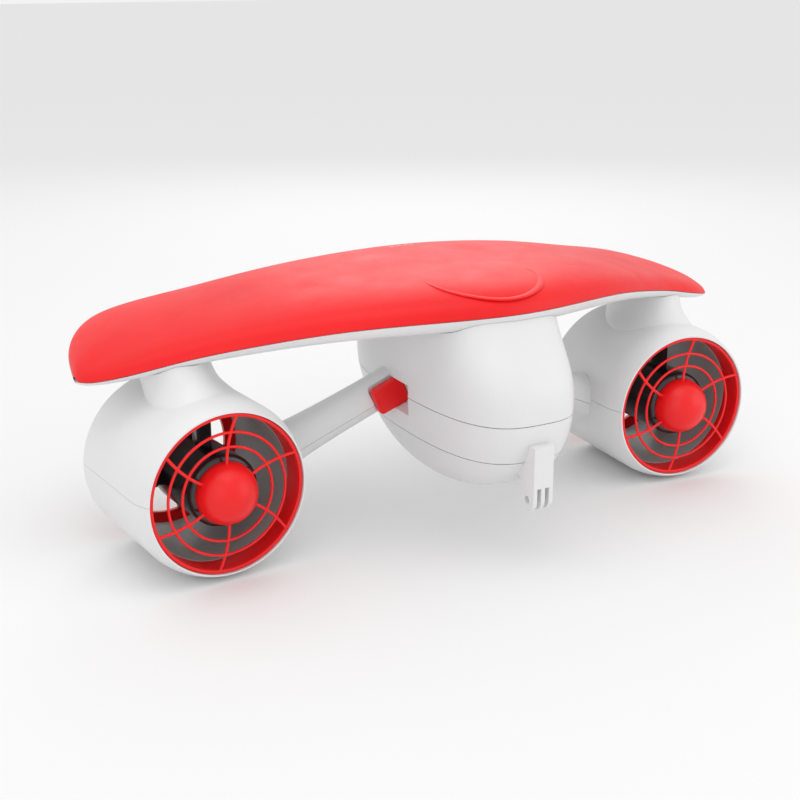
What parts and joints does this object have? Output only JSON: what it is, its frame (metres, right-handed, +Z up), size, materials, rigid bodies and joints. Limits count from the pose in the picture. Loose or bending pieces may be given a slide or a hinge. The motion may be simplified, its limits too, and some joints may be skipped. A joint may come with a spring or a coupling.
{
  "type": "underwater scooter",
  "caption": "Board-shaped underwater scooter with a ducted propeller under each tip, a battery hull in the middle, two grips with triggers and a camera bracket.",
  "frame": {"origin": "on the ground under the middle of the bounding box, the scooter standing on its ducts", "axes": "+X across towards the rider's left, -Y the way it swims, +Z up"},
  "size_m": [0.516, 0.2403, 0.1851],
  "materials": {
    "red_gloss": "satin gloss moulded plastic",
    "red_plastic": "smooth moulded plastic",
    "white_plastic": "satin moulded plastic",
    "grey_liner": "fine moulded texture",
    "black_plastic": "satin black",
    "rubber_seal": "matte",
    "lens": "frosted",
    "circuit": "solder mask",
    "foam": "closed-cell foam",
    "battery": "shrink wrap",
    "steel": "ground",
    "copper": "enamelled wire",
    "aluminium": "drawn tube"
  },
  "bodies": {
    "scooter": {"battery_door": "white_plastic", "battery_door_seal": "rubber_seal", "battery_pack": "battery", "board_core": "foam", "board_cover": "red_gloss", "board_tray": "white_plastic", "camera_bracket": "white_plastic", "charge_lights": "lens", "hull_lower_shell": "white_plastic", "hull_seal": "rubber_seal", "hull_upper_shell": "white_plastic", "left_duct_liner": "grey_liner", "left_duct_lower_shell": "white_plastic", "left_duct_upper_shell": "white_plastic", "left_grip_lower_shell": "white_plastic", "left_grip_tube": "aluminium", "left_grip_upper_shell": "white_plastic", "left_intake_guard": "red_plastic", "left_motor_lead": "rubber_seal", "left_motor_pod": "black_plastic", "left_motor_windings": "copper", "left_outlet_ring": "red_plastic", "left_outlet_vanes": "black_plastic", "left_pylon": "white_plastic", "left_shaft_bearings": "steel", "left_shaft_seal": "rubber_seal", "left_trigger_frame": "white_plastic", "left_trigger_spring": "steel", "light_board": "circuit", "motor_controller": "circuit", "right_duct_liner": "grey_liner", "right_duct_lower_shell": "white_plastic", "right_duct_upper_shell": "white_plastic", "right_grip_lower_shell": "white_plastic", "right_grip_tube": "aluminium", "right_grip_upper_shell": "white_plastic", "right_intake_guard": "red_plastic", "right_motor_lead": "rubber_seal", "right_motor_pod": "black_plastic", "right_motor_windings": "copper", "right_outlet_ring": "red_plastic", "right_outlet_vanes": "black_plastic", "right_pylon": "white_plastic", "right_shaft_bearings": "steel", "right_shaft_seal": "rubber_seal", "right_trigger_frame": "white_plastic", "right_trigger_spring": "steel"},
    "left_screw": {"left_propeller": "black_plastic", "left_propeller_shaft": "steel", "left_motor_rotor": "steel"},
    "left_trigger": {"left_trigger": "red_plastic"},
    "right_screw": {"right_propeller": "black_plastic", "right_propeller_shaft": "steel", "right_motor_rotor": "steel"},
    "right_trigger": {"right_trigger": "red_plastic"}
  },
  "joints": [
    {"name": "left_propeller_spin", "type": "hinge", "parent": "scooter", "child": "left_screw", "pos_m": [0.185, -0.036, 0.06], "axis": [0.0767, 0.9971, 0], "continuous": true},
    {"name": "left_trigger_press", "type": "slide", "parent": "scooter", "child": "left_trigger", "axis": [-0.0708, 0.997, 0.0305], "range_m": [0, 0.0035], "stiffness_N_per_m": 600, "springref_m": -0.002, "deforming": ["left_trigger_spring"]},
    {"name": "right_propeller_spin", "type": "hinge", "parent": "scooter", "child": "right_screw", "pos_m": [-0.185, -0.036, 0.06], "axis": [-0.0767, 0.9971, 0], "continuous": true},
    {"name": "right_trigger_press", "type": "slide", "parent": "scooter", "child": "right_trigger", "axis": [0.0708, 0.997, 0.0305], "range_m": [0, 0.0035], "stiffness_N_per_m": 600, "springref_m": -0.002, "deforming": ["right_trigger_spring"]}
  ]
}
